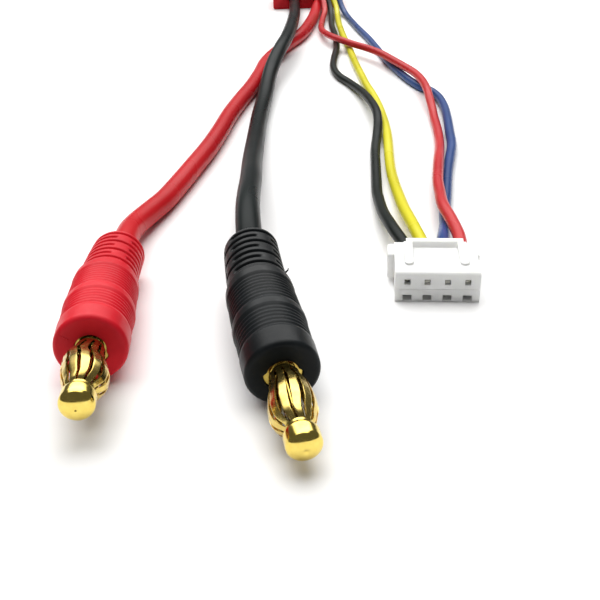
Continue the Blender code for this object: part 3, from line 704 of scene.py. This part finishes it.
def cage(colour, plug, mat):
    """Two rings and twelve bowed leaves with rounded slot ends."""
    bm = bmesh.new()
    s_list = [CAGE_OUTLINE[0][0], -8.62, -8.55, -8.45, -8.36, -8.3]
    s = -8.26
    while s < -0.5:
        s_list.append(s)
        s += 0.04 if s < -7.8 or s > -1.2 else 0.1
    s_list += [-0.47, -0.43, -0.39, -0.35]
    slot0, slot1 = -8.3, -0.72                     # where the slits run
    spots = (0.0, 0.05, 0.15, 0.35, 0.65, 0.85, 0.95, 1.0)
    per = len(spots)                              # columns across one leaf
    pitch = math.tau / LEAVES
    total = LEAVES * per
    rest = math.radians(CAGE_REST[colour])
    lean = CAGE_LEAN[colour]

    outer, inner = [], []
    for s in s_list:
        r = outline_radius(s)
        end = min(s - slot0, slot1 - s)
        half = math.radians((360 / LEAVES - LEAF_DEG) / 2)
        half *= math.sqrt(max(0.0, 1 - (1 - min(end / 0.3, 1.0)) ** 2)) if end > 0 else 0.0
        flatten = smoothstep(0.0, 1.0, end)
        roll = smoothstep(0.0, 0.2, end)
        rim = min(s - s_list[0], s_list[-1] - s)      # rounded ring ends
        rim = 0.06 * (1 - smoothstep(0.0, 0.1, rim))
        dx = along(lean, s)
        row_o, row_i = [], []
        for j in range(total):
            leaf, k = divmod(j, per)
            a0, a1 = leaf * pitch + half, (leaf + 1) * pitch - half
            a = a0 + (a1 - a0) * spots[k]
            off = a - (leaf + 0.5) * pitch
            flat = r * (1 - 0.8 * (1 - math.cos(pitch / 2) / math.cos(off)))
            ro = r + (flat - r) * flatten - rim
            ro -= roll * (0.02, 0.005, 0, 0, 0, 0, 0.005, 0.02)[k]
            ri = ro - CAGE_WALL + rim + roll * (0.04, 0.01, 0, 0, 0, 0, 0.01, 0.04)[k]
            t = a + rest
            for row, q in ((row_o, ro), (row_i, ri)):
                row.append(bm.verts.new(((q * math.sin(t) + dx) * MM, s * MM,
                                         q * math.cos(t) * MM)))
        outer.append(row_o)
        inner.append(row_i)
    n = len(s_list)

    def solid(i, j):
        mid = (s_list[i] + s_list[i + 1]) / 2
        return not (j % per == per - 1 and slot0 < mid < slot1)

    for i in range(n - 1):
        for j in range(total):
            k = (j + 1) % total
            if not solid(i, j):
                continue
            bm.faces.new((outer[i][j], outer[i][k], outer[i + 1][k], outer[i + 1][j]))
            bm.faces.new((inner[i][j], inner[i + 1][j], inner[i + 1][k], inner[i][k]))
            if i == 0 or not solid(i - 1, j):
                bm.faces.new((outer[i][j], inner[i][j], inner[i][k], outer[i][k]))
            if i == n - 2 or not solid(i + 1, j):
                bm.faces.new((outer[i + 1][j], outer[i + 1][k], inner[i + 1][k], inner[i + 1][j]))
            if not solid(i, (j - 1) % total):
                bm.faces.new((outer[i][j], outer[i + 1][j], inner[i + 1][j], inner[i][j]))
            if not solid(i, k):
                bm.faces.new((outer[i][k], inner[i][k], inner[i + 1][k], outer[i + 1][k]))
    bmesh.ops.remove_doubles(bm, verts=bm.verts, dist=1e-7)
    obj = add(f"{colour}_lantern_cage", bm, mat, plug_matrix(plug),
              body=f"{colour}_cage", angle=55)
    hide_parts(f"{colour}_contact_cage")
    return obj


for colour, plug in (("black", BLACK_PLUG), ("red", RED_PLUG)):
    pin = turned(f"{colour}_gold_pin", pin_profile(), GOLD, plug_matrix(plug),
                 steps=96, angle=50)
    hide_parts(f"{colour}_plug_body")
    cage(colour, plug, GOLD_LEAF)


# ------------------------------------------------------------- housings
def box_mesh(boxes):
    bm = bmesh.new()
    for lo, hi in boxes:
        lo, hi = Vector(lo) * MM, Vector(hi) * MM
        made = bmesh.ops.create_cube(bm, size=1.0)["verts"]
        bmesh.ops.scale(bm, verts=made, vec=hi - lo)
        bmesh.ops.translate(bm, verts=made, vec=(lo + hi) / 2)
    return bm


def cutter(name, bm):
    mesh = bpy.data.meshes.new(name)
    bmesh.ops.recalc_face_normals(bm, faces=bm.faces)
    bm.to_mesh(mesh)
    bm.free()
    obj = bpy.data.objects.new(name, mesh)
    SCENE.collection.objects.link(obj)
    return obj


def carve(name, base, steps, mat, matrix, bevel, late=(), segments=3, angle=30):
    """base: a bmesh; steps: [(operation, bmesh)]; then edges are rounded;
    late: cuts made after the rounding, left crisp."""
    body = cutter(name, base)
    tools = []

    def cut(operation, bm):
        tool = cutter(f"{name}_tool{len(tools)}", bm)
        tools.append(tool)
        mod = body.modifiers.new("cut", "BOOLEAN")
        mod.operation, mod.solver, mod.object = operation, "EXACT", tool

    for operation, bm in steps:
        cut(operation, bm)
    mod = body.modifiers.new("round", "BEVEL")
    mod.width, mod.segments = bevel * MM, segments
    mod.limit_method, mod.angle_limit = "ANGLE", math.radians(angle)
    mod.use_clamp_overlap = True
    mod.miter_outer = "MITER_ARC"
    for operation, bm in late:
        cut(operation, bm)
    dg = bpy.context.evaluated_depsgraph_get()
    dg.update()
    mesh = bpy.data.meshes.new_from_object(body.evaluated_get(dg))
    mesh.name = name
    for obj in [body] + tools:
        bpy.data.objects.remove(obj, do_unlink=True)
    bm = bmesh.new()
    bm.from_mesh(mesh)
    bmesh.ops.remove_doubles(bm, verts=bm.verts, dist=2e-7)
    bmesh.ops.triangulate(bm, faces=[f for f in bm.faces if len(f.verts) > 4])
    bm.to_mesh(mesh)
    bm.free()
    mesh.materials.clear()
    mesh.materials.append(mat)
    mesh.shade_smooth()
    mesh.set_sharp_from_angle(angle=math.radians(28))
    obj = bpy.data.objects.new(name, mesh)
    SCENE.collection.objects.link(obj)
    obj.matrix_world = matrix
    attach(obj, "lead")
    return obj


def balance_housing():
    half, xs = BAL_W / 2, [way_x(i) for i in range(4)]
    base = box_mesh([((-half, 0, 0), (half, BAL_L, BAL_H))])
    front = [e for e in base.edges
             if all(v.co.y < 1e-6 and v.co.z > 0.004 for v in e.verts)]
    bmesh.ops.bevel(base, geom=front, offset=0.5 * MM, segments=6,
                    profile=0.5, affect="EDGES")
    rails = bmesh.new()
    w, x, y0, y1, z0, z1 = 1.14, 3.5, 2.25, 7.9, 4.32, 4.76
    for sx in (-x, x):
        foot = [(-w / 2, y1)]
        for i in range(13):
            a = math.pi * i / 12
            foot.append((-w / 2 * math.cos(a), y0 + w / 2 - w / 2 * math.sin(a)))
        foot.append((w / 2, y1))
        low = [rails.verts.new(((sx + px) * MM, py * MM, 3.2 * MM)) for px, py in foot]
        top = [rails.verts.new(((sx + px) * MM, py * MM,
                                (z0 + (z1 - z0) * (py - y0) / (y1 - y0)) * MM))
               for px, py in foot]
        for k in range(len(foot)):
            m = (k + 1) % len(foot)
            rails.faces.new((low[k], low[m], top[m], top[k]))
        rails.faces.new(top)
        rails.faces.new(low[::-1])
    rib = bmesh.new()                            # side rib with a round top
    shape = [(-half + 1, 0.6), (-half - 0.75, 0.6), (-half - 0.9, 0.75)]
    for i in range(7):
        a = math.pi / 2 * i / 6
        shape.append((-half - 0.9 + 0.3 * (1 - math.cos(a)), 3.7 + 0.3 * math.sin(a)))
    shape.append((-half + 1, 4.0))
    front = [rib.verts.new((x0 * MM, 5.5 * MM, z * MM)) for x0, z in shape]
    back = [rib.verts.new((x0 * MM, (BAL_L - 0.3) * MM, z * MM)) for x0, z in shape]
    for k in range(len(shape)):
        m = (k + 1) % len(shape)
        rib.faces.new((front[k], front[m], back[m], back[k]))
    rib.faces.new(front[::-1])
    rib.faces.new(back)
    bar = bmesh.new()                            # rear bar with a sloping front
    shape = [(BAL_L - 1.75, 2.5), (BAL_L - 1.75, BAL_H - 0.12), (BAL_L - 1.62, BAL_H - 0.05),
             (BAL_L - 1.22, 4.72), (BAL_L - 1.12, 4.80), (BAL_L - 1.0, 4.83),
             (BAL_L - 0.2, 4.83), (BAL_L - 0.05, 4.68), (BAL_L - 0.05, 2.5)]
    ends = [[bar.verts.new((x0 * MM, y * MM, z * MM)) for y, z in shape]
            for x0 in (-3.75, 3.75)]
    for k in range(len(shape)):
        m = (k + 1) % len(shape)
        bar.faces.new((ends[0][k], ends[0][m], ends[1][m], ends[1][k]))
    bar.faces.new(ends[0][::-1])
    bar.faces.new(ends[1])
    for tool in (rib, bar, rails):
        bmesh.ops.recalc_face_normals(tool, faces=tool.faces)
    steps = [
        ("UNION", rib),
        ("UNION", box_mesh([((half - 0.35, 6.4, 2.7), (half + 0.5, BAL_L - 0.3, 3.5))])),
        ("UNION", bar),
        ("UNION", rails),
        ("DIFFERENCE", box_mesh([((x - 1.0, 0.9, 1.3), (x + 1.0, BAL_L + 1, 3.75)) for x in xs])),
    ]
    holes = [((x - 0.38, -1, BAL_PIN_Z - 0.38), (x + 0.38, 1.4, BAL_PIN_Z + 0.38))
             for x in xs]
    windows = [((x - 0.56, -1, 0.22), (x + 0.56, 2.0, 0.95)) for x in xs]
    late = [("DIFFERENCE", box_mesh([((-half - 1, -1, -1), (half + 1, 0.09, 1.80))])),
            ("DIFFERENCE", box_mesh([((-half - 1, -1, 1.74), (half + 1, 0.2, 1.86))])),
            ("DIFFERENCE", box_mesh(holes + windows))]
    obj = carve("balance_plug_body", base, steps, NYLON, BAL_MATRIX, 0.1, late)
    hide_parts("balance_housing")


balance_housing()


def balance_contact(i, colour, tongue):
    """Formed tin contact: box, bent spring tongue and wire crimp."""
    x, z = way_x(i), BAL_PIN_Z - 0.15
    w, h, t = 0.75, 0.85, 0.2
    bm = box_mesh([])

    def sheet(points, x0, x1, thick=0.12):
        """A strip x0..x1 wide bent through (y, z) points."""
        up = [Vector((0, -(b[1] - a[1]), b[0] - a[0])).normalized()
              for a, b in zip(points, points[1:])]
        up.append(up[-1])
        rows = []
        for (py, pz), n in zip(points, up):
            rows.append([bm.verts.new(Vector((px, py, pz)) * MM + n * off * MM)
                         for px in (x0, x1) for off in (0.0, thick)])
        for a, b in zip(rows, rows[1:]):
            for q in ((0, 1), (1, 3), (3, 2), (2, 0)):
                bm.faces.new((a[q[0]], a[q[1]], b[q[1]], b[q[0]]))
        bm.faces.new([rows[0][k] for k in (0, 2, 3, 1)])
        bm.faces.new([rows[-1][k] for k in (0, 1, 3, 2)])

    lo, hi = x - w, x + w
    sheet([(1.2, z - h), (4.4, z - h)], lo, hi)                    # floor
    sheet([(1.2, z + h - 0.12), (4.4, z + h - 0.12)], lo, hi)      # roof
    for side in (lo, hi - 0.12):                                   # walls
        sheet([(1.2, z - h + 0.13), (4.4, z - h + 0.13)], side, side + 0.12, 2 * h - 0.26)
    front = 1.15 - 0.75 * tongue                                   # spring tongue
    sheet([(1.9, z - h + 0.2), (front + 0.12, BAL_PIN_Z - 0.37),
           (front, BAL_PIN_Z - 0.33), (front + 0.04, BAL_PIN_Z - 0.26),
           (front + 0.6, BAL_PIN_Z + 0.05), (2.6, BAL_PIN_Z + 0.1)],
          x - 0.3, x + 0.3, 0.06)
    for y0, y1, half, high in ((4.5, 5.3, 0.55, 0.95), (5.6, 6.8, 0.95, 1.35)):
        wing = []
        for k in range(13):                                        # crimp barrel
            a = math.radians(-150 + 300 * k / 12)
            wing.append((x + half * math.sin(a), z - 0.1 - half * math.cos(a) * 0.8))
        for k in range(12):
            (xa, za), (xb, zb) = wing[k], wing[k + 1]
            v = [bm.verts.new(Vector(c) * MM) for c in (
                (xa, y0, za), (xb, y0, zb), (xb, y1, zb), (xa, y1, za))]
            c = Vector((x, 0, z - 0.1))
            inner = []
            for q in v:
                d = Vector((q.co.x - c.x * MM, 0, q.co.z - c.z * MM)).normalized()
                inner.append(bm.verts.new(q.co - d * 0.12 * MM))
            bm.faces.new(v)
            bm.faces.new(inner[::-1])
            for m in range(4):
                r = (m + 1) % 4
                bm.faces.new((v[m], inner[m], inner[r], v[r]))
    obj = add(f"{colour}_crimp_contact", bm, TIN, BAL_MATRIX, angle=30)
    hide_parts(f"balance_contact_{colour}")


for i, (colour, tongue) in enumerate((("black", 0.0), ("yellow", 0.85),
                                      ("blue", 0.95), ("red", 0.45))):
    balance_contact(i, colour, tongue)


def rods_mesh(ends, steps=40):
    bm = bmesh.new()
    for x, z, r, y0, y1 in ends:
        made = bmesh.ops.create_cone(bm, cap_ends=True, segments=steps,
                                     radius1=r * MM, radius2=r * MM,
                                     depth=(y1 - y0) * MM)["verts"]
        bmesh.ops.rotate(bm, verts=made, cent=(0, 0, 0),
                         matrix=Matrix.Rotation(math.pi / 2, 3, "X"))
        bmesh.ops.translate(bm, verts=made,
                            vec=(x * MM, (y0 + y1) / 2 * MM, z * MM))
    return bm


def rounded_box(lo, hi, radius, segments=5):
    bm = box_mesh([(lo, hi)])
    along = [e for e in bm.edges
             if abs((e.verts[0].co - e.verts[1].co).normalized().y) > 0.9]
    bmesh.ops.bevel(bm, geom=along, offset=radius * MM, segments=segments,
                    profile=0.5, affect="EDGES")
    return bm


def battery_connector():
    half, y1 = CON_W / 2, CON_COVER_L
    y2 = y1 + CON_SHELL_L
    cover = carve(
        "battery_connector_back",
        rounded_box((-half, 0, 0), (half, y1 - CON_GAP / 2, CON_H), 0.7),
        [("DIFFERENCE", rods_mesh(
            [(x, CON_POWER_Z, MAIN_WIRE_D / 2 + 0.1, -1, y1 + 1) for x, _ in CON_POWER]
            + [(x, CON_BALANCE_Z, THIN_WIRE_D / 2 + 0.1, -1, y1 + 1)
               for x, _ in CON_BALANCE]))],
        RED_PLASTIC, CON_MATRIX, 0.25)
    grips = []
    for side in (-1, 1):
        for i in range(5):
            x0 = side * half
            y = y1 + 3.0 + i * 1.3
            grips.append(((x0 - 0.3, y, 1.6), (x0 + 0.3, y + 0.6, CON_H - 1.6)))
    shell = carve(
        "battery_connector_front",
        rounded_box((-half, y1 + CON_GAP / 2, 0), (half, y2, CON_H), 0.7),
        [("DIFFERENCE", rods_mesh(
            [(x, CON_POWER_Z, 2.15, y1 - 1, y2 + 1) for x, _ in CON_POWER]
            + [(x, CON_BALANCE_Z, 0.9, y1 - 1, y2 + 1) for x, _ in CON_BALANCE])),
         ("DIFFERENCE", box_mesh(grips))],
        RED_PLASTIC, CON_MATRIX, 0.2)
    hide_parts("battery_connector_cover")
    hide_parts("battery_connector_shell")


battery_connector()

# CAD nodes that stay: give each its own finish
for name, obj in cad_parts.items():
    mat = None
    if name.endswith("_solder"):
        mat = TIN
    elif name.endswith("_strands"):
        mat = COPPER
    elif name.startswith("battery_power") or name.startswith("battery_balance_contact"):
        mat = GOLD
    if mat:
        obj.data.materials.clear()
        obj.data.materials.append(mat)

# ------------------------------------------------------------- floor and light
floor_bm = bmesh.new()
bmesh.ops.create_grid(floor_bm, x_segments=1, y_segments=1, size=1.5)
floor_mesh = bpy.data.meshes.new("floor")
floor_bm.to_mesh(floor_mesh)
floor_bm.free()
floor = bpy.data.objects.new("floor", floor_mesh)
SCENE.collection.objects.link(floor)
floor.location = (0, 0, -0.00002)
n = Nodes("floor_paper")
n.colour(n.ramp(n.noise(6.0, 2.0), [(0.3, (0.93, 0.93, 0.93)), (0.7, (0.95, 0.95, 0.95))]))
n.put("Roughness", 0.9)
n.put("Specular IOR Level", 0.1)
floor_mesh.materials.append(n.mat)

world = bpy.data.worlds.new("studio")
SCENE.world = world
world.use_nodes = True


def studio(tree):
    """A broad bright panel behind the object, dark overhead and in front."""
    links, new = tree.links, tree.nodes.new
    back = tree.nodes["Background"]

    def op(kind, a, b=0.0):
        node = new("ShaderNodeMath")
        node.operation = kind
        for i, value in enumerate((a, b)):
            if hasattr(value, "links"):
                links.new(value, node.inputs[i])
            else:
                node.inputs[i].default_value = value
        return node.outputs[0]

    def fade(value, x0, x1, y0, y1):
        node = new("ShaderNodeMapRange")
        node.interpolation_type = "SMOOTHSTEP"
        links.new(value, node.inputs["Value"])
        for key, v in (("From Min", x0), ("From Max", x1), ("To Min", y0), ("To Max", y1)):
            node.inputs[key].default_value = v
        return node.outputs["Result"]

    split = new("ShaderNodeSeparateXYZ")
    links.new(new("ShaderNodeTexCoord").outputs["Generated"], split.inputs[0])
    x, y, z = split.outputs
    lift = op("ARCTAN2", z, y)               # angle up from straight behind
    side = op("ABSOLUTE", op("ADD", x, 0.04))
    rad = math.radians
    strip = op("MULTIPLY", fade(lift, rad(17), rad(29), 0.0, 1.0),
               fade(lift, rad(88), rad(108), 1.0, 0.0))
    strip = op("MULTIPLY", strip, fade(side, 0.40, 0.64, 1.0, 0.0))
    links.new(op("ADD", op("MULTIPLY", strip, PANEL), ROOM), back.inputs["Strength"])
    back.inputs["Color"].default_value = (1.0, 0.995, 0.985, 1.0)


PANEL, ROOM = 3.85, 0.12
studio(world.node_tree)
SCENE.view_settings.view_transform = "Standard"
